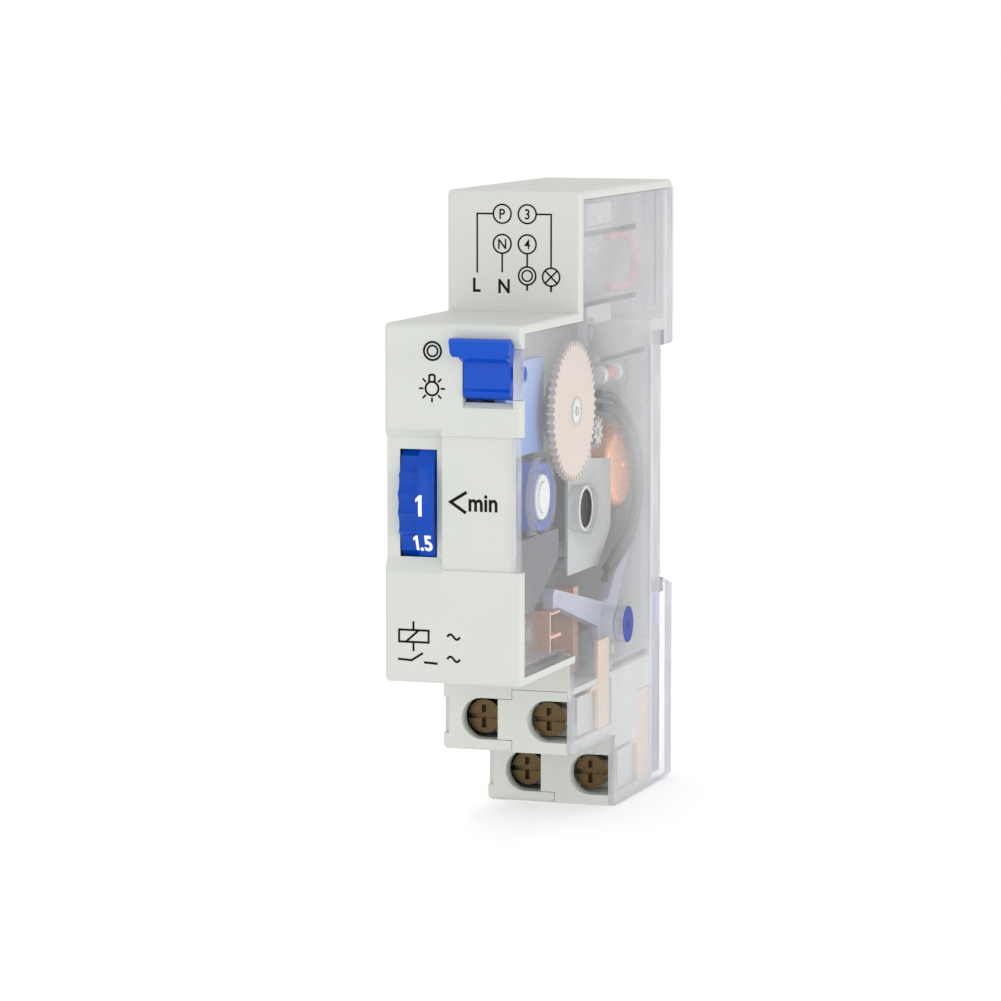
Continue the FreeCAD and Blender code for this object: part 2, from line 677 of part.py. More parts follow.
def stator():
    front = [
        ("-31.6", "-12"), ("-31.6", "1"), ("-27.4", "8.4"), ("-22.4", "8.4"), ("-21.4", "2.4"),
        ("-12.8", "1.6"), ("-12.8", "-7.5"), ("-18", "-12"),
    ]
    plate = prism("stator_blank", front, ("5.5", "5.9"))
    windows = [
        rod_x("rotor_window", "1.6", ("5", "7"), "-rotor_reach", "rotor_height"),
        rod_x("arbor_window", "arbor_radius + 0.03", ("5", "7"), "-second_reach", "second_height"),
    ]
    node("stator_plate", cut("stator_solid", plate, windows))
    back = [("-33", "-12"), ("-33", "2"), ("-27", "8.4"), ("-8", "8.4"), ("-2", "4"),
            ("-2", "-8"), ("-8", "-12")]
    rear = prism("yoke_blank", back, ("0.75", "1.15"))
    core = rod_x("coil_core", "core_radius", ("1", "5.5"), "-coil_reach", "coil_height")
    holes = [
        rod_x("yoke_rotor_hole", "1.1", ("0", "1.5"), "-rotor_reach", "rotor_height"),
        rod_x("yoke_arbor_hole", "0.8", ("0", "1.5"), "-second_reach", "second_height"),
    ]
    holes += [rod_x(f"yoke_post_hole_{n}", "0.92", ("0", "1.5"), y, z)
              for n, (y, z) in enumerate(SPACERS)]
    node("stator_yoke", fuse("yoke_solid", [cut("yoke_plate", rear, holes), core]))


def coil():
    place_at = ("-coil_reach", "coil_height")
    barrel = ring_x("bobbin_barrel", "core_radius + 0.6", "core_radius + 0.05",
                    ("1.2", "coil_high + 0.25"), *place_at)
    flange = ring_x("bobbin_flange", "coil_radius + 0.4", "core_radius + 0.05",
                    ("1.2", "coil_low"), *place_at)
    node("coil_bobbin", fuse("bobbin_solid", [barrel, flange]))
    winding = ring_x("winding_ring", "coil_radius", "core_radius + 0.65", ("coil_low", "coil_high"),
                     *place_at)
    node("coil_winding", winding)


def tube(points, radius, bend):
    """A wire along straight runs joined by tangent arcs, of the given bend radius at each corner."""
    edges = []
    last = points[0]
    for before, corner, after in zip(points, points[1:], points[2:]):
        inward = (before - corner).normalize()
        onward = (after - corner).normalize()
        turn = math.pi - inward.getAngle(onward)
        trim = bend * math.tan(turn / 2)
        trim = min(trim, 0.45 * (before - corner).Length, 0.45 * (after - corner).Length)
        start = corner + inward * trim
        end = corner + onward * trim
        size = trim / math.tan(turn / 2)
        middle = corner + (inward + onward).normalize() * (size / math.cos(turn / 2) - size)
        edges += [Part.LineSegment(last, start).toShape(), Part.Arc(start, middle, end).toShape()]
        last = end
    edges.append(Part.LineSegment(last, points[-1]).toShape())
    profile = Part.Wire([Part.makeCircle(radius, points[0], points[1] - points[0])])
    return Part.Wire(edges).makePipeShell([profile], True, True)


def lead(name, x, route, radius, bend):
    points = [FreeCAD.Vector(x, y, z) for y, z in route]
    return node(name, shaped(name, tube(points, radius, bend)))


def leads():
    lead("coil_lead_outer", 6.9, [(-21.5, 10.9), (-14.5, 9.9), (-6.5, 5.8), (-2.7, 0.5),
                                  (-2.7, -5), (-7, -10), (-18.5, -13.9)], 0.55, 5)
    lead("coil_lead_inner", 6.9, [(-21.3, 9.2), (-14.8, 8.3), (-7.6, 4.4), (-4.2, 0.2),
                                  (-4.2, -4.4), (-8, -8.8), (-18, -12.5)], 0.55, 5)
    lead("head_lead", 5.9, [(-14.5, 31.2), (-8.6, 31.3), (-3.6, 30.6), (-1.9, 27.3),
                            (-3.6, 24.4), (-8.6, 24.2), (-14.5, 24.4)], 0.6, 3)


def suppressor():
    body = rod_y("suppressor_tube", "0.95", "6.4", ("-19.6", "-14.8"), "13.2")
    node("suppressor_body", body)
    ends = [rod_y(f"suppressor_end_{n}", "1.3", "6.4", y, "13.2")
            for n, y in enumerate((("-21.2", "-19.6"), ("-14.8", "-13.2")))]
    node("suppressor_ends", group("suppressor_end_group", ends))


# ---------------------------------------------------------------- time wheel

def time_wheel():
    scallops = 34
    outer = amount("wheel_radius")
    depth = 0.45
    left, seam, right = -amount("wheel_left"), -4.75, -amount("wheel_right")
    points = []
    for index in range(scallops):
        angle = 2 * math.pi * (index + 0.5) / scallops
        points.append(FreeCAD.Vector(left, outer * math.cos(angle), outer * math.sin(angle)))
    arcs = []
    for index, start in enumerate(points):
        angle = 2 * math.pi * (index + 1) / scallops
        dip = FreeCAD.Vector(left, (outer - depth) * math.cos(angle), (outer - depth) * math.sin(angle))
        arcs.append(Part.Arc(start, dip, points[(index + 1) % scallops]).toShape())
    grip = Part.Face(Part.Wire(arcs)).extrude(FreeCAD.Vector(seam - left, 0, 0))
    band = shaft_blank(outer, (seam, right))
    hub = shaft_blank(amount("hub_radius"), (right - 0.2, amount("hub_end")))
    whole = grip.fuse([band, hub])
    well = shaft_blank(11, (left - 1, left + 1.6))
    bore = shaft_blank(amount("axle_radius") + 0.05, (left - 1, 9))
    cup = shaft_blank(3.35, (5.2, 9))
    feature = shaped("time_wheel", whole.cut([well, bore, cup]).removeSplitter())
    feature.Placement.Base = FreeCAD.Vector(0, -amount("wheel_reach"), 0)
    node("time_wheel", feature)
    node("wheel_bush", ring_x("bush_ring", "3.3", "axle_radius + running_gap", ("5.25", "7.7"),
                              "-wheel_reach", "0"))
    node("wheel_axle", rod_x("axle_rod", "axle_radius", ("-7.8", "7.85"), "-wheel_reach", "0"))


def detent_spring():
    outline = [("-33.95", "-12"), ("-33.25", "-12"), ("-33.25", "0.5"), ("-33.6", "3.4"),
               ("-33.3", "6.5"), ("-33.5", "6.5"), ("-33.85", "3.4"), ("-33.5", "0.5"),
               ("-33.5", "-9"), ("-33.95", "-9")]
    return node("detent_spring", prism("detent_blank", outline, ("-5.8", "-4")))


# ---------------------------------------------------------------- selector

def selector():
    barrel = rod_x("rocker_barrel", "rocker_radius", ("rocker_left", "rocker_right"),
                   "-rocker_reach", "rocker_height")
    shave = box("rocker_shave", ("0", "9"), ("-nose_reach - 5", "-nose_reach - 0.2"), ("10", "22"))
    drum = cut("rocker_drum", barrel, [shave])
    bar_outline = [
        ("-nose_reach + 0.9", "19.2"), ("-nose_reach - 0.15", "18"), ("-nose_reach - 0.7", "17.9"),
        ("-nose_reach - 2", "18.5"), ("-nose_reach - 2.5", "19.1"), ("-nose_reach - 2.1", "20.5"),
        ("-nose_reach - 1.7", "20.85"), ("-nose_reach - 0.35", "20.85"), ("-nose_reach - 0.35", "20"),
        ("-nose_reach + 0.4", "19.5"),
    ]
    bar = prism("rocker_bar", bar_outline, ("rocker_left", "rocker_right"))
    wing_outline = [
        ("-nose_reach - 0.35", "18.6"), ("-nose_reach - 1.9", "18.6"), ("-nose_reach - 2.5", "19.1"),
        ("-nose_reach - 2.1", "20.5"), ("-nose_reach - 1.7", "20.85"), ("-nose_reach - 0.35", "20.85"),
    ]
    wing = prism("rocker_wing", wing_outline, ("-0.5", "8.1"))
    trims = [
        box("wing_trim_left", ("-1.5", "0"), ("-nose_reach - 4", "-nose_reach"), ("17", "18.6")),
    ]
    toe_outline = [
        ("-nose_reach + 0.3", "14.9"), ("-nose_reach - 0.2", "14.6"), ("-nose_reach - 0.5", "14.25"),
        ("-nose_reach - 0.35", "13.85"), ("-nose_reach + 0.6", "13.9"),
    ]
    toe = prism("rocker_toe", toe_outline, ("rocker_left", "rocker_right"))
    pivots = [
        rod_x("rocker_pivot_left", "pivot_radius", ("0.2", "rocker_left + 0.1"), "-rocker_reach",
              "rocker_height"),
        rod_x("rocker_pivot_right", "pivot_radius", ("rocker_right - 0.1", "8.8"), "-rocker_reach",
              "rocker_height"),
    ]
    crank_outline = [
        ("-rocker_reach", "rocker_height + 0.9"), ("-rocker_reach", "rocker_height - 1.6"),
        ("-rocker_reach + crank_reach - 0.2", "rocker_height - crank_fall - 0.75"),
        ("-rocker_reach + crank_reach + 0.7", "rocker_height - crank_fall - 0.3"),
        ("-rocker_reach + crank_reach + 0.5", "rocker_height - crank_fall + 0.7"),
    ]
    crank = prism("rocker_crank", crank_outline, ("5.3", "6.3"))
    pin = rod_x("crank_pin", "0.5", ("3.3", "5.4"), "-rocker_reach + crank_reach",
                "rocker_height - crank_fall")
    whole = fuse("rocker_whole", [drum, bar, wing, toe] + pivots + [crank, pin])
    node("selector_rocker", cut("rocker_solid", whole, trims))
    slide = box("slide_blank", ("3.5", "5"), ("-54.2", "-38.9"), ("5.1", "17.1"))
    slot = box("slide_slot", ("3", "6"), ("-rocker_reach + crank_reach - 0.65",
                                          "-rocker_reach + crank_reach + 0.95"),
               ("rocker_height - crank_fall - 0.55", "rocker_height - crank_fall + 0.55"))
    node("selector_slide", cut("slide_solid", slide, [slot]))


# ---------------------------------------------------------------- contacts

def contact_lever():
    hub = rod_x("lever_hub", "3.2", ("4.4", "5.8"), "-lever_reach", "lever_height")
    pin = rod_x("lever_end", "lever_pin", ("5.7", "case_width / 2"), "-lever_reach", "lever_height")
    stub = rod_x("lever_stub", "1.2", ("-3", "4.5"), "-lever_reach", "lever_height")
    long_arm = prism("lever_long_arm", [
        ("-15.4", "-17.4"), ("-36.6", "-13.1"), ("-37.4", "-13.6"), ("-37.4", "-15.6"),
        ("-35.4", "-15.6"), ("-17", "-20.6"),
    ], ("4.4", "5.8"))
    short_arm = prism("lever_short_arm", [
        ("-14", "-17.6"), ("-11.8", "-20.6"), ("-2.6", "-10.6"), ("-2.3", "-8"), ("-4.4", "-8.4"),
    ], ("4.4", "5.8"))
    return node("contact_lever", fuse("lever_solid", [hub, pin, stub, long_arm, short_arm]))


def contacts():
    leaf = fuse("leaf_solid", [
        box("leaf_strip", ("1.8", "4.2"), ("-42.6", "-leaf_reach + 0.4"), ("-16.1", "-15.85")),
        box("leaf_pad", ("4.2", "6.3"), ("-42.6", "-36"), ("-16.1", "-15.85")),
    ])
    node("moving_leaf", leaf)
    upper = doc.addObject("Part::Cylinder", "moving_stud")
    upper.Radius = 1.1
    upper.Height = 0.6
    node("moving_contact", place(upper, "5.1", "-41.2", "-16.7"))
    plate = fuse("fixed_plate_solid", [
        box("fixed_shelf", ("3.9", "7.6"), ("-44", "-39.6"), ("-18.6", "-18.2")),
        box("fixed_wall", ("4.2", "7.6"), ("-44.3", "-43.9"), ("-20.3", "-15")),
    ])
    node("fixed_contact_plate", plate)
    lower = doc.addObject("Part::Cylinder", "fixed_stud")
    lower.Radius = 1.1
    lower.Height = 0.6
    node("fixed_contact", place(lower, "5.1", "-41.2", "-18.2"))
    anchor = box("anchor_block", ("1.4", "4.1"), ("-leaf_reach + 0.5", "-21.4"), ("-25.9", "-14.6"))
    node("leaf_anchor", anchor)
    outline = [("-58.4", "-5.2"), ("-36.4", "-5.2"), ("-36.4", "-9"), ("-43", "-12.6"),
               ("-47", "-14.8"), ("-58.4", "-14.8")]
    node("insulator_plate", prism("insulator_blank", outline, ("5.4", "6.2")))


# ---------------------------------------------------------------- terminals

def terminal(name, screw, level, step):
    """One screw, its box clamp and its bus bar."""
    front = f"-{step}"
    head_end = f"{front} + screw_sink + head_height"
    side = -1 if name.startswith("left") else 1
    head = rod_y(name + "_head", "head_radius", screw, (f"{front} + screw_sink", head_end), level)
    shank = rod_y(name + "_shank", "shank_radius", screw,
                  (head_end + " - 0.1", f"{front} + shank_end"), level)
    slots = [
        box(name + "_slot_a", (f"{screw} - 2.5", f"{screw} + 2.5"),
            (f"{front} + screw_sink - 0.5", f"{front} + screw_sink + 0.9"),
            (f"{level} - 0.35", f"{level} + 0.35")),
        box(name + "_slot_b", (f"{screw} - 0.35", f"{screw} + 0.35"),
            (f"{front} + screw_sink - 0.5", f"{front} + screw_sink + 0.9"),
            (f"{level} - 1.5", f"{level} + 1.5")),
    ]
    node("screw_" + name, cut(name + "_screw", fuse(name + "_blank", [head, shank]), slots))
    outer = (f"{screw} - cage_half", f"{screw} + cage_half")
    inner = (f"{screw} - cage_half + cage_wall", f"{screw} + cage_half - cage_wall")
    cage = box(name + "_cage", outer, (f"{front} + cage_front", f"{front} + cage_back"),
               (f"{level} - 2.8", f"{level} + 2.3"))
    hollow = box(name + "_hollow", inner, (f"{front} + cage_front + 0.8", f"{front} + wire_back"),
                 (f"{level} - 4", f"{level} + 4"))
    thread = rod_y(name + "_thread", "shank_radius + running_gap", screw,
                   (f"{front} + cage_front - 1", f"{front} + cage_front + 2"), level)
    node("clamp_" + name, cut(name + "_clamp", cage, [hollow, thread]))
    strip_x = ("7.35", "7.8") if side > 0 else ("-7.7", "-7.25")
    web_x = (f"{screw} - 1.7", "7.8") if side > 0 else ("-7.7", f"{screw} + 1.7")
    bar = fuse(name + "_bar", [
        box(name + "_tongue", (f"{screw} - 1.7", f"{screw} + 1.7"),
            (f"{front} + shank_end + 0.2", f"{front} + wire_front"),
            (f"{level} - 2.7", f"{level} + 3.1")),
        box(name + "_web", web_x, (f"{front} + shank_end + 0.2", f"{front} + 18.6"),
            (f"{level} + 2.5", f"{level} + 3.1")),
        box(name + "_strip", strip_x, (f"{front} + 13.6", f"{front} + 18.6"),
            (f"{level} - 2.9", BAR_TOPS[name])),
    ])
    node("bus_bar_" + name, bar)


def build():
    main_housing()
    terminal_carrier()
    side_cover()
    din_clip()
    spring = coil_spring(-1.5, 3.1, -33.95, -26.05, 1.3, 0.4)
    node("clip_spring", shaped("clip_spring", spring))
    gear_train()
    movement_plate()
    spacer_posts()
    stator()
    coil()
    leads()
    suppressor()
    time_wheel()
    detent_spring()
    selector()
    contact_lever()
    contacts()
    for name, (screw, level, step, _) in TERMINALS.items():
        terminal(name, screw, level, step)
    doc.recompute()


def check_and_write():
    for thing in doc.Objects:
        if "Invalid" in thing.State or "Error" in thing.State:
            raise RuntimeError(f"{thing.Label} did not build: {thing.State}")
    os.makedirs("parts", exist_ok=True)
    for thing in NODES:
        shape = thing.Shape
        if shape.isNull() or not shape.isValid() or not shape.Solids:
            raise RuntimeError(f"{thing.Label} has no valid solid")
        shape.exportStep(f"parts/{thing.Label}.step")
        print(f"{thing.Label}: {len(shape.Solids)} solid(s), {shape.Volume:.2f} mm3")


build()
check_and_write()
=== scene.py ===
"""Looks for a one-module stairwell timer on a rail.

It holds the finishes, the printed marks, the coil's winding, the selector's rocker, the rail
clip's spring, a few collars of the mechanism, and the camera, floor and light.
Lengths are in metres. X runs across the module, -Y comes out of the panel and +Z is up.
"""
import json
import math

import bmesh
import bpy
from mathutils import Matrix, Vector


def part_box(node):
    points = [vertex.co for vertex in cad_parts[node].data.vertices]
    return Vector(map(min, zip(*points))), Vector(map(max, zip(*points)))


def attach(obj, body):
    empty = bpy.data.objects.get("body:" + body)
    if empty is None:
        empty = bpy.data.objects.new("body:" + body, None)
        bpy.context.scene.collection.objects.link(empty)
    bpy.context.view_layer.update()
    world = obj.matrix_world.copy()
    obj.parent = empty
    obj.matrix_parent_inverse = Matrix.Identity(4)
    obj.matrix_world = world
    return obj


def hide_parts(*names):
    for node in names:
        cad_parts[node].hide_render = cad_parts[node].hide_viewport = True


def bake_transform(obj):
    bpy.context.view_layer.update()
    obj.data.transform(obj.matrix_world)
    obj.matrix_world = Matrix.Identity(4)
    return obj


MM = 0.001
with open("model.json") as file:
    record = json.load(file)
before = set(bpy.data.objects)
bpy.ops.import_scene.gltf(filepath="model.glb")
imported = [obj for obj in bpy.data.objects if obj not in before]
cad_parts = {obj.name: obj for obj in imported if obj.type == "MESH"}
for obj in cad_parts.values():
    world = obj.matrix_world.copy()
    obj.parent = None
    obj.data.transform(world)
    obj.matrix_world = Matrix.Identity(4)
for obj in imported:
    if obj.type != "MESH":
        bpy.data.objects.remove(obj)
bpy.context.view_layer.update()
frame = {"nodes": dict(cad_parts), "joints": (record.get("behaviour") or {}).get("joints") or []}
NODES = frame["nodes"]
JOINTS = {joint["name"]: joint for joint in frame["joints"]}

CASE_LOW, CASE_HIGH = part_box("main_housing")
COVER_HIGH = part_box("side_cover")[1]
FACE = CASE_LOW.y
HEAD_FACE = FACE + 24 * MM
WHEEL_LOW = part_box("time_wheel")[0]
WHEEL_AXIS = Vector(JOINTS["wheel_turn"]["pos_m"])
WHEEL_RADIUS = WHEEL_AXIS.y - WHEEL_LOW.y
GEAR_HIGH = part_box("main_gear")[1]
GEAR_AXIS = Vector(JOINTS["main_spin"]["pos_m"])
ROTOR_LOW, ROTOR_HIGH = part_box("rotor_cap")
ROTOR_AXIS = Vector(JOINTS["rotor_spin"]["pos_m"])
PIN_AXIS = Vector(JOINTS["lever_rock"]["pos_m"])


# ---------------------------------------------------------------- finishes

def tint(red, green, blue):
    """Screen values from 0 to 255 as scene-linear colour."""
    shares = (value / 255 for value in (red, green, blue))
    return tuple(v / 12.92 if v <= 0.04045 else ((v + 0.055) / 1.055) ** 2.4 for v in shares)


# A Mix node has sockets for each kind of value. These are the ones for colours.
MIX_FIRST, MIX_SECOND, MIX_RESULT = 6, 7, 2


class Finish:
    """A material whose detail comes from noise in the object's own coordinates."""

    def __init__(self, name, colour, roughness, **sockets):
        self.material = bpy.data.materials.new(name)
        self.material.use_nodes = True
        self.tree = self.material.node_tree
        self.shader = self.tree.nodes["Principled BSDF"]
        self.colour = colour
        self.roughness = roughness
        self.put("Base Color", (*colour, 1))
        self.put("Roughness", roughness)
        for socket, value in sockets.items():
            self.put(socket.replace("_", " "), value)
        self.place = self.add("ShaderNodeTexCoord").outputs["Object"]
        self.normal = None

    def put(self, socket, value):
        """Set one of the shader's sockets."""
        self.shader.inputs[socket].default_value = value

    def add(self, kind, **values):
        """A new node, with its settings and the sockets that are named set to values."""
        node = self.tree.nodes.new(kind)
        for key, value in values.items():
            if hasattr(node, key):
                setattr(node, key, value)
            else:
                node.inputs[key.replace("_", " ").title()].default_value = value
        return node

    def join(self, start, end):
        """Link an output to an input."""
        self.tree.links.new(start, end)

    def maths(self, operation, first, second=None, third=None):
        """A maths node whose values are numbers or sockets."""
        node = self.add("ShaderNodeMath", operation=operation)
        for socket, value in zip(node.inputs, (first, second, third)):
            if isinstance(value, bpy.types.NodeSocket):
                self.join(value, socket)
            elif value is not None:
                socket.default_value = value
        return node.outputs[0]

    def ramp(self, value, start, end, low=0, high=1, curve="SMOOTHSTEP"):
        """A level that goes from low to high as value goes from start to end."""
        level = self.add("ShaderNodeMapRange", interpolation_type=curve)
        limits = {"From Min": start, "From Max": end, "To Min": low, "To Max": high}
        for socket, limit in limits.items():
            level.inputs[socket].default_value = limit
        self.join(value, level.inputs["Value"])
        return level.outputs["Result"]

    def distance(self, place, centre):
        """How far a place is from centre."""
        node = self.add("ShaderNodeVectorMath", operation="DISTANCE")
        self.join(place, node.inputs[0])
        node.inputs[1].default_value = centre
        return node.outputs["Value"]

    def shade(self, share, first, second):
        """The colour a share of the way from first to second; each is a colour or a socket."""
        mix = self.add("ShaderNodeMix", data_type="RGBA")
        self.join(share, mix.inputs["Factor"])
        for socket, colour in ((MIX_FIRST, first), (MIX_SECOND, second)):
            if isinstance(colour, bpy.types.NodeSocket):
                self.join(colour, mix.inputs[socket])
            else:
                mix.inputs[socket].default_value = (*colour, 1)
        return mix.outputs[MIX_RESULT]

    def noise(self, size, detail=3, stretch=None):
        """Noise whose cells are size metres across, longer along the axes that stretch names."""
        texture = self.add("ShaderNodeTexNoise", scale=1 / size, detail=detail)
        where = self.place
        if stretch:
            mapping = self.add("ShaderNodeMapping")
            mapping.inputs["Scale"].default_value = [1 / share for share in stretch]
            self.join(where, mapping.inputs["Vector"])
            where = mapping.outputs["Vector"]
        self.join(where, texture.inputs["Vector"])
        return texture.outputs["Fac"]

    def grain(self, size, depth, detail=3, stretch=None):
        """Fine unevenness of the surface, depth metres high."""
        bump = self.add("ShaderNodeBump", strength=1, distance=depth)
        self.join(self.noise(size, detail, stretch), bump.inputs["Height"])
        if self.normal:
            self.join(self.normal, bump.inputs["Normal"])
        self.normal = bump.outputs["Normal"]
        self.join(self.normal, self.shader.inputs["Normal"])
        return self

    def mottle(self, size, share, stretch=None):
        """Colour that drifts by a share of itself, lighter and darker."""
        darker, lighter = ([min(1, part * level) for part in self.colour]
                           for level in (1 - share, 1 + share))
        drift = self.shade(self.noise(size, 4, stretch), darker, lighter)
        self.join(drift, self.shader.inputs["Base Color"])
        return self

    def smudge(self, size, share, stretch=None):
        """Gloss that drifts by a share of the roughness."""
        drift = self.ramp(self.noise(size, 4, stretch), 0.3, 0.7,
                          self.roughness * (1 - share), self.roughness * (1 + share), "LINEAR")
        self.join(drift, self.shader.inputs["Roughness"])
        return self


def moulded(name, colour, roughness=0.42, depth=0.004 * MM, **sockets):
    """Moulded plastic with a fine spark-eroded skin."""
    finish = Finish(name, colour, roughness, **sockets)
    finish.grain(0.12 * MM, depth).grain(2.5 * MM, depth)
    return finish.mottle(6 * MM, 0.02).smudge(3 * MM, 0.12)


def metal(name, colour, roughness, stretch=None, shine=1.0):
    """Worked metal, with marks drawn out along the axes that stretch names."""
    finish = Finish(name, colour, roughness, Metallic=shine)
    finish.grain(0.15 * MM, 0.002 * MM, 4, stretch)
    return finish.mottle(0.8 * MM, 0.06, stretch).smudge(0.6 * MM, 0.25, stretch)


# The cover's film is clearest round CLEAREST and denser away from it, with milk and a painted
# reflection, and thinner still at the window beside the rotor.
CLEAREST = Vector((COVER_HIGH.x, FACE + 20 * MM, ROTOR_AXIS.z))
CLEAR_REACH, MILK_AND_REFLECTION_REACH = 17 * MM, 37 * MM
WINDOW = Vector((COVER_HIGH.x, ROTOR_AXIS.y - 4 * MM, ROTOR_AXIS.z + 0.4 * MM))
WINDOW_RADIUS, WINDOW_BLUR = 4.2 * MM, 1.6 * MM
WINDOW_SHARE = 0.1
DENSEST = 0.9
RIM_SHADE = tint(150, 150, 154)


def clear(name, film, sheen, edge, roughness):
    """Clear moulding: a milky film with a painted reflection, clearest over the front, with a gloss at
    shallow angles.

    film is how dense it is where it is clearest and where its milk and painted reflection are densest.
    Its rims, seen along the sheet, are denser and streaked by what they reflect inside.
    """
    finish = Finish(name, tint(226, 227, 231), roughness, IOR=1.5)
    maths, noise = finish.maths, finish.noise

    # Painted reflection: the film grows denser with distance from CLEAREST, on top of its even milky
    # haze.
    milk_and_reflection = finish.ramp(finish.distance(finish.place, CLEAREST), CLEAR_REACH, MILK_AND_REFLECTION_REACH, *film)
    cloud = maths("MULTIPLY", milk_and_reflection, maths("MULTIPLY_ADD", noise(9 * MM, 2), 0.8, 0.6))

    facing = finish.add("ShaderNodeLayerWeight", blend=0.5).outputs["Facing"]
    gloss = maths("MULTIPLY", maths("POWER", facing, 4), sheen)

    direction = finish.add("ShaderNodeSeparateXYZ")
    finish.join(finish.add("ShaderNodeTexCoord").outputs["Normal"], direction.inputs[0])
    rim = maths("SUBTRACT", 1, maths("ABSOLUTE", direction.outputs["X"]))
    streaks = maths("MULTIPLY_ADD", noise(0.9 * MM, 2, (1, 1, 9)), 1.4, 0.3)
    dense = maths("MULTIPLY", maths("MULTIPLY", rim, streaks), edge)

    window = finish.ramp(finish.distance(finish.place, WINDOW), WINDOW_RADIUS,
                         WINDOW_RADIUS + WINDOW_BLUR, WINDOW_SHARE, 1)
    total = maths("MULTIPLY", maths("ADD", maths("ADD", cloud, gloss), dense), window)
    finish.join(maths("MINIMUM", total, DENSEST), finish.shader.inputs["Alpha"])
    # Painted reflection: grey streaks on the rims, standing for what the rims reflect from inside.
    shaded = maths("MULTIPLY", rim, noise(0.7 * MM, 3, (1, 1, 12)))
    finish.join(finish.shade(shaded, finish.colour, RIM_SHADE), finish.shader.inputs["Base Color"])
    return finish.grain(5 * MM, 0.012 * MM, 2)


# The lever's pin reaches through the cover: it is blue from PIN_COLOUR_START outwards.
PIN_COLOUR_START = COVER_HIGH.x - 1.4 * MM
PIN_BLUE, DIMPLE_SHADE_BLUE = tint(26, 52, 150), tint(4, 14, 90)
DIMPLE_RADIUS, DIMPLE_RIM = 0.45 * MM, 0.75 * MM


def lever_blue(name):
    """A pale moulding whose round pin end is blue, with painted shade darkening the dimple in its
    middle.
    """
    finish = moulded(name, tint(172, 174, 192), 0.4, Specular_IOR_Level=0.15)
    parts = finish.add("ShaderNodeSeparateXYZ")
    finish.join(finish.place, parts.inputs[0])
    flat = finish.add("ShaderNodeCombineXYZ")
    for axis in "YZ":
        finish.join(parts.outputs[axis], flat.inputs[axis])
    radius = finish.distance(flat.outputs[0], (0, PIN_AXIS.y, PIN_AXIS.z))
    # Painted shade: the pin end's middle is a darker blue, standing for the shade in its dimple.
    blue = finish.shade(finish.ramp(radius, DIMPLE_RADIUS, DIMPLE_RIM), DIMPLE_SHADE_BLUE, PIN_BLUE)
    pin = finish.maths("GREATER_THAN", parts.outputs["X"], PIN_COLOUR_START)
    finish.join(finish.shade(pin, finish.colour, blue), finish.shader.inputs["Base Color"])
    return finish


FINISHES = {
    "shell": moulded("shell_plastic", tint(198, 201, 195), 0.45),
    "clear": clear("clear_plastic", (0.05, 0.3), 0.2, 0.5, 0.06),
    "lever": lever_blue("lever_plastic"),
    "clip": moulded("clip_plastic", tint(140, 149, 207), 0.4),
    "hub": moulded("hub_plastic", tint(208, 211, 210), 0.2),
    "rocker": moulded("rocker_plastic", tint(0, 72, 184), 0.3, 0.003 * MM, Specular_IOR_Level=0.2),
    "wheel": moulded("wheel_plastic", tint(0, 66, 170), 0.3, 0.003 * MM, Specular_IOR_Level=0.2),
    "slide": moulded("slide_plastic", tint(128, 158, 216), 0.4),
    "white": moulded("white_plastic", tint(214, 216, 216), 0.25),
    "cream": moulded("gear_nylon", tint(206, 190, 179), 0.5),
    "black": moulded("black_plastic", tint(14, 14, 16), 0.16, 0.001 * MM, Specular_IOR_Level=0.05),
    "insulator": moulded("insulator_board", tint(78, 78, 82), 0.5),
    "black_sleeve": moulded("black_sleeve", tint(30, 28, 30), 0.45),
    "red_sleeve": moulded("red_sleeve", tint(196, 62, 48), 0.4),
    "pink": moulded("pink_lacquer", tint(212, 120, 110), 0.25),
    "magnet": metal("magnet_ferrite", tint(70, 68, 68), 0.6),
    "steel": metal("turned_steel", tint(200, 200, 198), 0.42, (6, 1, 1)),
    "sheet_steel": metal("pressed_steel", tint(186, 190, 188), 0.38, (1, 4, 1), 0.6),
    "zinc": metal("zinc_plate", tint(206, 206, 202), 0.35, None, 0.7),
    "copper": metal("copper_strip", tint(232, 176, 148), 0.35, (1, 4, 1), 0.55),
    "wire": metal("enamelled_wire", tint(255, 184, 142), 0.26, None, 0.3),
    "silver": metal("contact_silver", tint(225, 224, 220), 0.22),
    # Painted shade: the screws' brass is darkened to stand for the shade of the deep holes they sit in.
    "brass": metal("screw_brass", tint(90, 74, 52), 0.25),
    "tin_brass": metal("bar_brass", tint(228, 200, 164), 0.42, (1, 1, 4), 0.7),
    "ink": moulded("printed_ink", tint(10, 10, 12), 0.6, 0.001 * MM, Specular_IOR_Level=0.15),
    "white_ink": moulded("white_ink", tint(244, 246, 250), 0.45, 0.001 * MM),
}
NODE_FINISHES = {
    "shell": ["main_housing", "terminal_carrier"],
    "clear": ["side_cover", "wheel_bush"],
    "rocker": ["selector_rocker"],
    "wheel": ["time_wheel"],
    "lever": ["contact_lever"],
    "clip": ["din_clip"],
    "slide": ["selector_slide"],
    "white": ["wheel_axle", "coil_bobbin", "suppressor_ends"],
    "cream": ["main_gear", "first_wheel", "second_wheel", "cam_disc"],
    "black": ["rotor_cap"],
    "insulator": ["insulator_plate"],
    "black_sleeve": ["coil_lead_outer", "coil_lead_inner"],
    "red_sleeve": ["head_lead"],
    "pink": ["suppressor_body"],
    "magnet": ["rotor_magnet"],
    "steel": ["rotor_shaft", "first_arbor", "second_arbor", "main_arbor", "spacer_posts",
              "clip_spring", "detent_spring"],
    "sheet_steel": ["stator_plate", "stator_yoke", "movement_plate"],
    "copper": ["moving_leaf", "fixed_contact_plate", "leaf_anchor"],
    "wire": ["coil_winding"],
    "silver": ["moving_contact", "fixed_contact"],
}
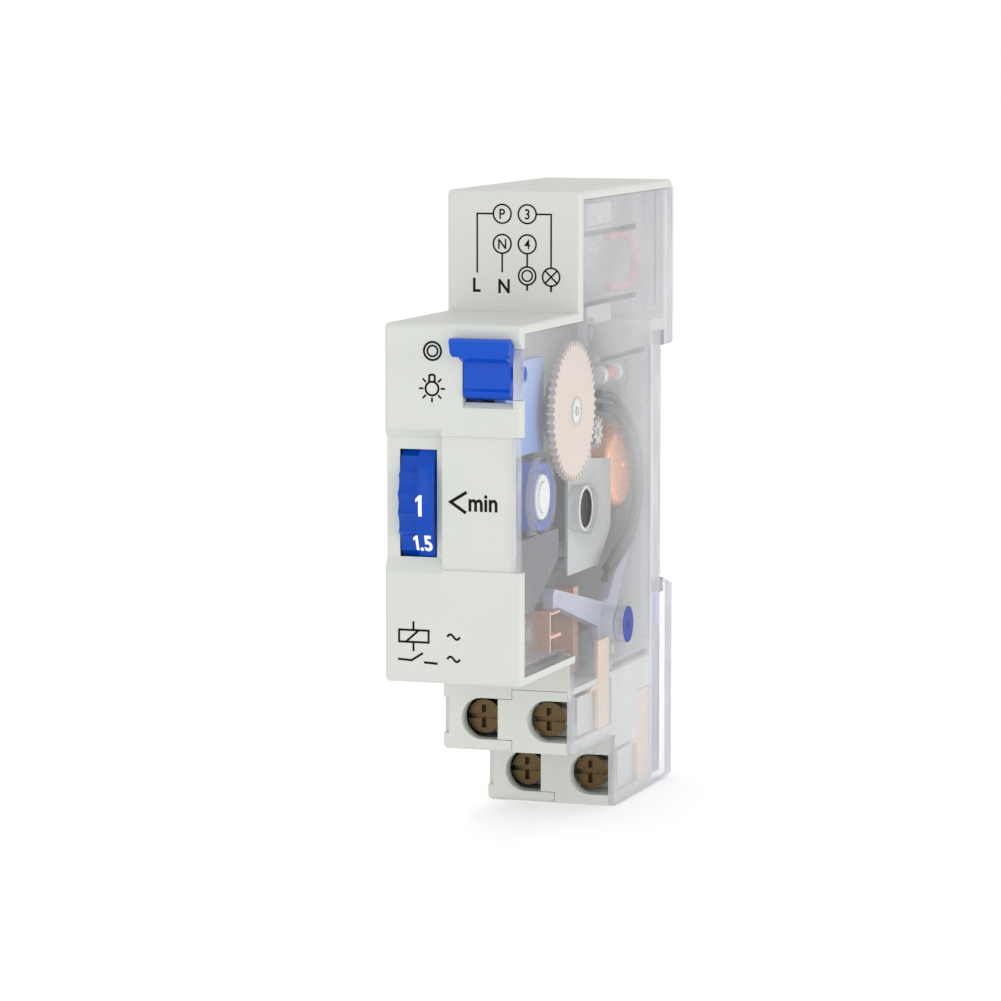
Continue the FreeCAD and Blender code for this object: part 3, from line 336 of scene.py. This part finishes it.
TERMINALS = ("left_upper", "right_upper", "left_lower", "right_lower")
for terminal_finish, start in (("brass", "screw_"), ("zinc", "clamp_"), ("tin_brass", "bus_bar_")):
    NODE_FINISHES[terminal_finish] = [start + terminal for terminal in TERMINALS]


def dress_nodes():
    """Give every CAD node its finish."""
    for finish, names in NODE_FINISHES.items():
        for name in names:
            for holder in NODES[name].material_slots:
                holder.material = FINISHES[finish].material


def new_piece(name, data):
    """A new object in the scene."""
    piece = bpy.data.objects.new(name, data)
    bpy.context.scene.collection.objects.link(piece)
    return piece


def piece_of(name, mesh):
    """A new object in the scene, from a finished bmesh."""
    data = bpy.data.meshes.new(name)
    mesh.to_mesh(data)
    mesh.free()
    return new_piece(name, data)


def weld(piece):
    """Join the points that lie on each other along the seams of a CAD mesh."""
    piece.modifiers.new("weld", "WELD").merge_threshold = 0.001 * MM


def bevel(piece, width, angle=30, segments=2):
    """Round a piece's sharp edges by width."""
    rounded = piece.modifiers.new("bevel", "BEVEL")
    rounded.width = width
    rounded.segments = segments
    rounded.limit_method = "ANGLE"
    rounded.angle_limit = math.radians(angle)
    rounded.harden_normals = True


SOFT_EDGES = {
    0.12 * MM: ["main_housing", "terminal_carrier", "din_clip"],
    0.08 * MM: ["side_cover", "contact_lever", "selector_slide", "cam_disc", "rotor_cap"],
    0.05 * MM: ["time_wheel", "main_gear", "wheel_bush", "wheel_axle"],
}


def soften_nodes():
    """Round the sharp edges of the CAD nodes that show them."""
    for width, names in SOFT_EDGES.items():
        for name in names:
            weld(NODES[name])
            bevel(NODES[name], width)


# ---------------------------------------------------------------- printed marks

INK_LIFT = 0.004 * MM
INK_THICKNESS = 0.012 * MM
SAME_POINT = 0.0005 * MM
SHARPEST_MITRE = 0.4


def thicken(piece):
    """Give flat ink a little body on its outer side."""
    thick = piece.modifiers.new("thickness", "SOLIDIFY")
    thick.thickness = INK_THICKNESS
    thick.offset = 1


class Print:
    """Flat black ink on a face that looks along -Y, in millimetres across and up."""

    def __init__(self, name, face):
        self.name = name
        self.face = face
        self.mesh = bmesh.new()

    def polygon(self, corners):
        """A flat face between corners."""
        made = [self.mesh.verts.new((x * MM, 0, z * MM)) for x, z in corners]
        self.mesh.faces.new(made)

    def line(self, points, width, closed=False):
        """A stroke of one width with mitred corners."""
        points = [Vector(point) for point in points]
        count = len(points)
        sides = []
        for index, point in enumerate(points):
            before = points[index - 1] if index or closed else None
            after = points[(index + 1) % count] if index < count - 1 or closed else None
            ways = [(b - a).normalized() for a, b in ((before, point), (point, after))
                    if a is not None and b is not None]
            way = sum(ways, Vector((0, 0))).normalized()
            across = Vector((-way.y, way.x))
            reach = width / 2 / max(SHARPEST_MITRE, across.dot(Vector((-ways[0].y, ways[0].x))))
            sides.append((point + across * reach, point - across * reach))
        pairs = list(zip(sides, sides[1:] + sides[:1])) if closed else list(zip(sides, sides[1:]))
        for (left, right), (next_left, next_right) in pairs:
            self.polygon([left, right, next_right, next_left])

    def ring(self, x, z, radius, width, steps=48):
        """A circle drawn with a stroke."""
        turns = [math.tau * step / steps for step in range(steps)]
        self.line([(x + radius * math.cos(t), z + radius * math.sin(t)) for t in turns],
                  width, closed=True)

    def text(self, words, x, z, height, weight=0.0, squeeze=1.0):
        """Letters centred on x, z, with capitals of the given height."""
        shape = letters(words, weight)
        scale = height / CAPITAL
        for corners in shape:
            self.polygon([(x + px * scale * squeeze, z + pz * scale) for px, pz in corners])

    def done(self):
        """The marks as one piece on the casing."""
        bmesh.ops.remove_doubles(self.mesh, verts=self.mesh.verts, dist=SAME_POINT)
        bmesh.ops.recalc_face_normals(self.mesh, faces=self.mesh.faces)
        for face in self.mesh.faces:
            if face.normal.y > 0:
                face.normal_flip()
        piece = piece_of(self.name, self.mesh)
        piece.location.y = self.face - INK_LIFT
        thicken(piece)
        piece.data.materials.append(FINISHES["ink"].material)
        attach(piece, "housing")


# Letters, in units of the font's size: the height of a capital, and the gap between two signs.
# The font's own 1 is a plain bar, so that sign is drawn here.
CAPITAL = 0.7
LETTER_GAP = 0.07
HAND_DRAWN = {
    "1": [[(0.12, 0), (0.27, 0), (0.27, 0.7), (0.16, 0.7), (0, 0.58), (0, 0.46), (0.12, 0.53)]],
}


def letters(words, weight):
    """The outlines of words as polygons, centred, in units of the font's size."""
    shape = []
    start = 0
    for sign in words:
        polygons = HAND_DRAWN.get(sign) or font_outline(sign, weight)
        xs = [x for corners in polygons for x, z in corners]
        low, high = min(xs), max(xs)
        shape += [[(x - low + start, z) for x, z in corners] for corners in polygons]
        start += high - low + LETTER_GAP
    half = (start - LETTER_GAP) / 2
    return [[(x - half, z - CAPITAL / 2) for x, z in corners] for corners in shape]


def font_outline(sign, weight):
    """One sign of Blender's own font as polygons, made bolder by weight."""
    curve = bpy.data.curves.new("letters", "FONT")
    curve.body = sign
    curve.offset = weight
    curve.resolution_u = 4
    holder = bpy.data.objects.new("letters", curve)
    mesh = bpy.data.meshes.new_from_object(holder)
    polygons = [[tuple(mesh.vertices[i].co.xy) for i in face.vertices] for face in mesh.polygons]
    bpy.data.objects.remove(holder)
    bpy.data.curves.remove(curve)
    bpy.data.meshes.remove(mesh)
    return polygons


STROKE = 0.27


def push_button(ink, x, z, radius, width=STROKE):
    """The sign for a push button: two rings, one in the other."""
    ink.ring(x, z, radius, width)
    ink.ring(x, z, radius * 0.6, width * 0.9)


def lit_lamp(ink, x, z):
    """The sign for steady light: a bulb with its cap and seven rays."""
    bulb, ray_start, ray_end = 0.85, 1.12, 1.72
    ink.ring(x, z, bulb, STROKE)
    left, right, low, high, corner = x - 0.36, x + 0.36, z + 0.84, z + 1.72, 0.15
    ink.line([(left, low), (left, high - corner), (left + corner, high),
              (right - corner, high), (right, high - corner), (right, low)], STROKE)
    for turn in range(-225, 46, 45):
        way = Vector((math.cos(math.radians(turn)), math.sin(math.radians(turn))))
        centre = Vector((x, z))
        ink.line([centre + way * ray_start, centre + way * ray_end], STROKE * 0.9)


def wave(ink, x, z, half=0.85, height=0.32, width=0.28):
    """The sign for alternating current."""
    steps = 12
    ink.line([(x + half * (2 * s / steps - 1), z - height * math.sin(math.tau * s / steps - math.pi))
              for s in range(steps + 1)], width)


def front_marks():
    """The selector's two signs, and a coil over a contact with a wave beside each."""
    ink = Print("front_marks", FACE)
    push_button(ink, -2.63, 19.12, 1.12)
    lit_lamp(ink, -2.7, 14.45)
    for height in (-16.5, -19.3):
        wave(ink, 0.1, height)
    left, right, low, high = -7.1, -3.2, -17.35, -15.85
    ink.line([(left, low), (right, low), (right, high), (left, high)], STROKE, closed=True)
    ink.line([(-6.2, low), (-4.5, high)], STROKE)
    coil, upper_end, lower_end = -5.2, -14.75, -18.5
    ink.line([(coil, high), (coil, upper_end)], STROKE)
    ink.line([(coil, low), (coil, lower_end)], STROKE)
    ink.line([(-7.25, -19.55), (-5.45, -19.65), (-3.95, -18.7)], 0.28)
    ink.line([(-3.8, -19.85), (-2.0, -19.95)], 0.3)
    ink.done()


def panel_marks():
    """The arrow that points at the wheel's window, and the unit of its numbers."""
    panel_depth = 0.25 * MM
    ink = Print("panel_marks", FACE + panel_depth)
    ink.line([(1.74, 1.65), (-0.36, 0.38), (1.66, -0.95)], 0.4)
    ink.text("min", 3.88, 0.42, 2.15, 0.026, 0.86)
    ink.done()


def head_marks():
    """Wiring sketch: terminals in circles, supply letters, a push button and a lamp."""
    ink = Print("head_marks", HEAD_FACE)
    left, right, upper, lower = -1.55, 1.82, 35.0, 31.15
    radius, width = 1.2, 0.22
    sign_height, letter_height = 1.3, 1.75
    for sign, x, z in (("P", left, upper), ("3", right, upper), ("N", left, lower),
                       ("4", right, lower)):
        ink.ring(x, z, radius, width)
        ink.text(sign, x, z, sign_height, 0.004 if sign == "4" else 0.014, 0.9)
    supply = -4.93
    ink.line([(left - radius, upper), (supply, upper), (supply, 27.4)], width)
    ink.line([(left, lower - radius), (left, 27.5)], width)
    ink.text("L", -4.99, 25.85, letter_height, 0.026, 0.9)
    ink.text("N", -1.3, 25.75, letter_height, 0.026, 0.9)
    round_sign, lead = 1.15, 0.75
    button = 27.1
    push_button(ink, right, button, round_sign, 0.23)
    ink.line([(right, lower - radius), (right, button + round_sign)], width)
    ink.line([(right, button - round_sign), (right, button - round_sign - lead)], width * 1.2)
    across, lamp = 5.04, 27.0
    ink.line([(right + radius, upper), (across, upper), (across, button + round_sign)], width)
    ink.ring(across, lamp, round_sign, width)
    ink.line([(across, lamp - round_sign), (across, lamp - round_sign - lead)], width * 1.2)
    cross = round_sign * math.sqrt(0.5)
    for turn in (-1, 1):
        ink.line([(across - cross, lamp - turn * cross), (across + cross, lamp + turn * cross)], width)
    ink.done()


# The wheel's numbers: the places round it, how many are used, and the minutes between two.
NUMBER_PLACES, NUMBERS, NUMBER_STEP = 17, 13, 0.5
NUMBER_TURN = math.radians(0.7)
WHOLE_HEIGHT, HALF_HEIGHT = 2.65, 2.05
WHOLE_BAND, HALF_BAND = 2.8 * MM, 3.05 * MM
NUMBER_SQUEEZE, NUMBER_WEIGHT = 0.8, 0.03


def curved_number(words, height, band, turn):
    """A number as a bmesh, wrapped round the wheel with its middle at the angle turn."""
    scale = height / CAPITAL * MM
    flat = bmesh.new()
    for corners in letters(words, NUMBER_WEIGHT):
        flat.faces.new([flat.verts.new((px * scale * NUMBER_SQUEEZE, 0, pz * scale))
                        for px, pz in corners])
    bmesh.ops.remove_doubles(flat, verts=flat.verts, dist=SAME_POINT)
    strips = 12
    for strip in range(1, strips):
        level = (strip / strips - 0.5) * height * MM
        bmesh.ops.bisect_plane(flat, geom=flat.verts[:] + flat.edges[:] + flat.faces[:],
                               plane_co=(0, 0, level), plane_no=(0, 0, 1))
    surface = WHEEL_RADIUS + 0.006 * MM
    for vert in flat.verts:
        angle = turn + vert.co.z / WHEEL_RADIUS
        vert.co = Vector((band + vert.co.x, WHEEL_AXIS.y - surface * math.cos(angle),
                          WHEEL_AXIS.z + surface * math.sin(angle)))
    return flat


def wheel_numbers():
    """Minutes round the thumbwheel, half a minute apart, in white."""
    mesh = bmesh.new()
    for index in range(NUMBERS):
        whole = index % 2 == 0
        turn = -math.tau * index / NUMBER_PLACES - NUMBER_TURN
        flat = curved_number(f"{1 + index * NUMBER_STEP:g}", WHOLE_HEIGHT if whole else HALF_HEIGHT,
                             WHEEL_LOW.x + (WHOLE_BAND if whole else HALF_BAND), turn)
        part = bpy.data.meshes.new("number")
        flat.to_mesh(part)
        mesh.from_mesh(part)
        bpy.data.meshes.remove(part)
        flat.free()
    bmesh.ops.recalc_face_normals(mesh, faces=mesh.faces)
    for face in mesh.faces:
        out = face.calc_center_median() - WHEEL_AXIS
        out.x = 0
        if face.normal.dot(out) < 0:
            face.normal_flip()
    piece = piece_of("wheel_numbers", mesh)
    thicken(piece)
    piece.data.materials.append(FINISHES["white_ink"].material)
    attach(piece, "wheel")


# ---------------------------------------------------------------- winding

def lathe(name, profile, centre, steps=160):
    """A closed outline of (x, radius) turned about an axis along X."""
    mesh = bmesh.new()
    loops = []
    for step in range(steps):
        turn = math.tau * step / steps
        loops.append([mesh.verts.new((x, centre.y + radius * math.cos(turn),
                                      centre.z + radius * math.sin(turn)))
                      for x, radius in profile])
    for start, end in zip(loops, loops[1:] + loops[:1]):
        for index in range(len(profile)):
            following = (index + 1) % len(profile)
            mesh.faces.new((start[index], start[following], end[following], end[index]))
    bmesh.ops.recalc_face_normals(mesh, faces=mesh.faces)
    for face in mesh.faces:
        face.smooth = True
    return piece_of(name, mesh)


def winding():
    """The coil's turns of fine wire, laid in layers, with a rounded outer shoulder."""
    low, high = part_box("coil_winding")
    centre = (low + high) / 2
    outer = (high.z - low.z) / 2
    inner = 0.6 * MM
    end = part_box("stator_plate")[1].x + 0.08 * MM
    wire = 0.19 * MM
    groove = 0.012 * MM
    shoulder = 1.1 * MM
    path = [(low.x, inner), (low.x, outer - wire / 2)]
    turns = int((end - shoulder - low.x) / wire)
    path += [(low.x + wire * (turn + 0.5), outer) for turn in range(turns)]
    arc = int(shoulder * math.pi / 2 / wire)
    for step in range(arc + 1):
        angle = math.pi / 2 * step / arc
        path.append((end - shoulder + shoulder * math.sin(angle),
                     outer - shoulder + shoulder * math.cos(angle)))
    layers = int((outer - shoulder - inner) / wire)
    path += [(end, outer - shoulder - wire * (layer + 1)) for layer in range(layers)]
    profile = path[:2]
    for point, after in zip(path[2:-1], path[3:]):
        way = Vector((after[0] - point[0], after[1] - point[1])).normalized()
        profile += [point, ((point[0] + after[0]) / 2 + way.y * groove,
                            (point[1] + after[1]) / 2 - way.x * groove)]
    profile.append(path[-1])
    piece = lathe("coil_turns", profile, centre)
    piece.data.materials.append(FINISHES["wire"].material)
    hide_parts("coil_winding")
    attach(piece, "housing")


# ---------------------------------------------------------------- rocker

def block(name, low, high, shear=0.0):
    """A box from low to high whose top leans along X by shear."""
    mesh = bmesh.new()
    bmesh.ops.create_cube(mesh, size=1)
    for vert in mesh.verts:
        share = vert.co + Vector((0.5, 0.5, 0.5))
        vert.co = Vector([start + part * (end - start)
                          for start, end, part in zip(low, high, share)])
        vert.co.x += shear * share.z
    return piece_of(name, mesh)


def rocker():
    """The selector's rocker with slanted bar ends and softly rounded edges."""
    low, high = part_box("selector_rocker")
    piece = new_piece("rocker_cap", NODES["selector_rocker"].data.copy())
    weld(piece)
    bar_height, bar_depth = 2.3 * MM, 3 * MM
    left_start, left_lean = 1.15 * MM, -0.75 * MM
    right_start, right_lean, right_height = 8.75 * MM, -1.2 * MM, 1.0 * MM
    front, back, top = low.y - MM, low.y + bar_depth, high.z + MM
    cutters = [
        block("left_cut", (low.x - 2 * MM, front, high.z - bar_height - 0.3 * MM),
              (low.x + left_start, back, top), left_lean),
        block("right_cut", (low.x + right_start, front, high.z - right_height),
              (low.x + 12 * MM, back, top), right_lean),
    ]
    for cutter in cutters:
        away = piece.modifiers.new(cutter.name, "BOOLEAN")
        away.operation = "DIFFERENCE"
        away.object = cutter
    bevel(piece, 0.28 * MM, angle=40, segments=3)
    bpy.context.view_layer.update()
    shape = bpy.data.meshes.new_from_object(
        piece.evaluated_get(bpy.context.evaluated_depsgraph_get()))
    piece.modifiers.clear()
    piece.data = shape
    for cutter in cutters:
        bpy.data.objects.remove(cutter)
    shape.materials.clear()
    shape.materials.append(FINISHES["rocker"].material)
    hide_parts("selector_rocker")
    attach(piece, "rocker")


# ---------------------------------------------------------------- rail clip's spring

def spring():
    """The clip's spring, a fixed copy of its CAD node, with its foot on the casing."""
    piece = new_piece("spring_wire", NODES["clip_spring"].data.copy())
    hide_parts("clip_spring")
    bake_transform(piece)


# ---------------------------------------------------------------- mechanism details

def collar(name, low, high, inner, outer, axis, body):
    """A ring about an axis along X, with rounded rims."""
    edge = min(0.2 * MM, (high - low) / 3, (outer - inner) / 3)
    piece = lathe(name, round_corners(low, high, inner, outer, edge), axis, 96)
    piece.data.materials.append(FINISHES["hub"].material)
    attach(piece, body)


def round_corners(low, high, inner, outer, edge):
    """A rectangle of (x, radius) with quarter-round corners, counter-clockwise."""
    corners = ((high - edge, outer - edge, 0), (low + edge, outer - edge, 90),
               (low + edge, inner + edge, 180), (high - edge, inner + edge, 270))
    return [(x + edge * math.cos(math.radians(start + 30 * step)),
             radius + edge * math.sin(math.radians(start + 30 * step)))
            for x, radius, start in corners for step in range(4)]


def mechanism_details():
    """Collars at the rotor, the wheel's hub and the main gear."""
    collar("rotor_collar", ROTOR_LOW.x + 0.5 * MM, ROTOR_HIGH.x + 0.05 * MM, 2.5 * MM, 3.05 * MM,
           ROTOR_AXIS, "housing")
    bush_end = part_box("wheel_bush")[1].x
    collar("hub_ring", bush_end - 1.3 * MM, bush_end + 0.02 * MM, 1.95 * MM, 2.9 * MM,
           WHEEL_AXIS, "wheel")
    collar("gear_hub", GEAR_HIGH.x - 0.1 * MM, GEAR_HIGH.x + 0.3 * MM, 0.56 * MM, 1.5 * MM,
           GEAR_AXIS, "main")


# ---------------------------------------------------------------- camera, floor and light

# The camera looks at AIM from VIEW_DISTANCE away, with the angles in degrees, and the whole
# view is then moved sideways and up. The lens is in millimetres, on a sensor 36 wide.
VIEW_AZIMUTH, VIEW_ELEVATION = 18.507, 6.245
VIEW_DISTANCE = 0.6132
LENS = 170.94
AIM = Vector((0, -0.035, 0))
SHIFT_RIGHT, SHIFT_UP = -2.01 * MM, -1.99 * MM


def camera():
    """A long lens, to the right of the front and a little above it."""
    turn, lift = math.radians(VIEW_AZIMUTH), math.radians(VIEW_ELEVATION)
    right = Vector((math.cos(turn), math.sin(turn), 0))
    ahead = Vector((-math.sin(turn) * math.cos(lift), math.cos(turn) * math.cos(lift), -math.sin(lift)))
    up = right.cross(ahead)
    data = bpy.data.cameras.new("camera")
    data.lens = LENS
    data.sensor_width = 36
    data.clip_start = 0.05
    data.clip_end = 200
    holder = new_piece("camera", data)
    place = AIM - ahead * VIEW_DISTANCE + right * SHIFT_RIGHT + up * SHIFT_UP
    holder.matrix_world = Matrix.Translation(place) @ Matrix((right, up, -ahead)).transposed().to_4x4()
    bpy.context.scene.camera = holder


def floor():
    """A very wide plain disc under the lowest point of the object."""
    radius = 60
    mesh = bmesh.new()
    bmesh.ops.create_circle(mesh, cap_ends=True, segments=96, radius=radius)
    piece = piece_of("floor", mesh)
    piece.location.z = CASE_LOW.z
    pale = Finish("pale_floor", (0.93, 0.93, 0.93), 0.9, Emission_Strength=0.22)
    pale.put("Emission Color", (1, 1, 1, 1))
    piece.data.materials.append(pale.material)


def softbox(name, place, size, power):
    """A round soft light, size metres across, that looks at the middle of the casing."""
    data = bpy.data.lights.new(name, "AREA")
    data.shape = "DISK"
    data.size = size
    data.energy = power
    holder = new_piece(name, data)
    holder.location = place
    middle = (CASE_LOW + CASE_HIGH) / 2
    holder.rotation_euler = (middle - holder.location).to_track_quat("-Z", "Y").to_euler()


def light():
    """A bright even sky with three soft lights: in front, at the clear side and above."""
    world = bpy.data.worlds.new("studio")
    world.use_nodes = True
    sky = world.node_tree.nodes["Background"]
    sky.inputs["Color"].default_value = (1, 1, 1, 1)
    sky.inputs["Strength"].default_value = 0.84
    bpy.context.scene.world = world
    softbox("key", (-0.35, -1.1, 0.12), 0.8, 2.7)
    softbox("side", (1.2, -0.4, 0.15), 0.7, 6.0)
    softbox("top", (-0.25, -0.1, 1.2), 0.7, 1.6)
    bpy.context.scene.view_settings.view_transform = "Standard"


dress_nodes()
soften_nodes()
front_marks()
panel_marks()
head_marks()
wheel_numbers()
winding()
rocker()
spring()
mechanism_details()
camera()
floor()
light()
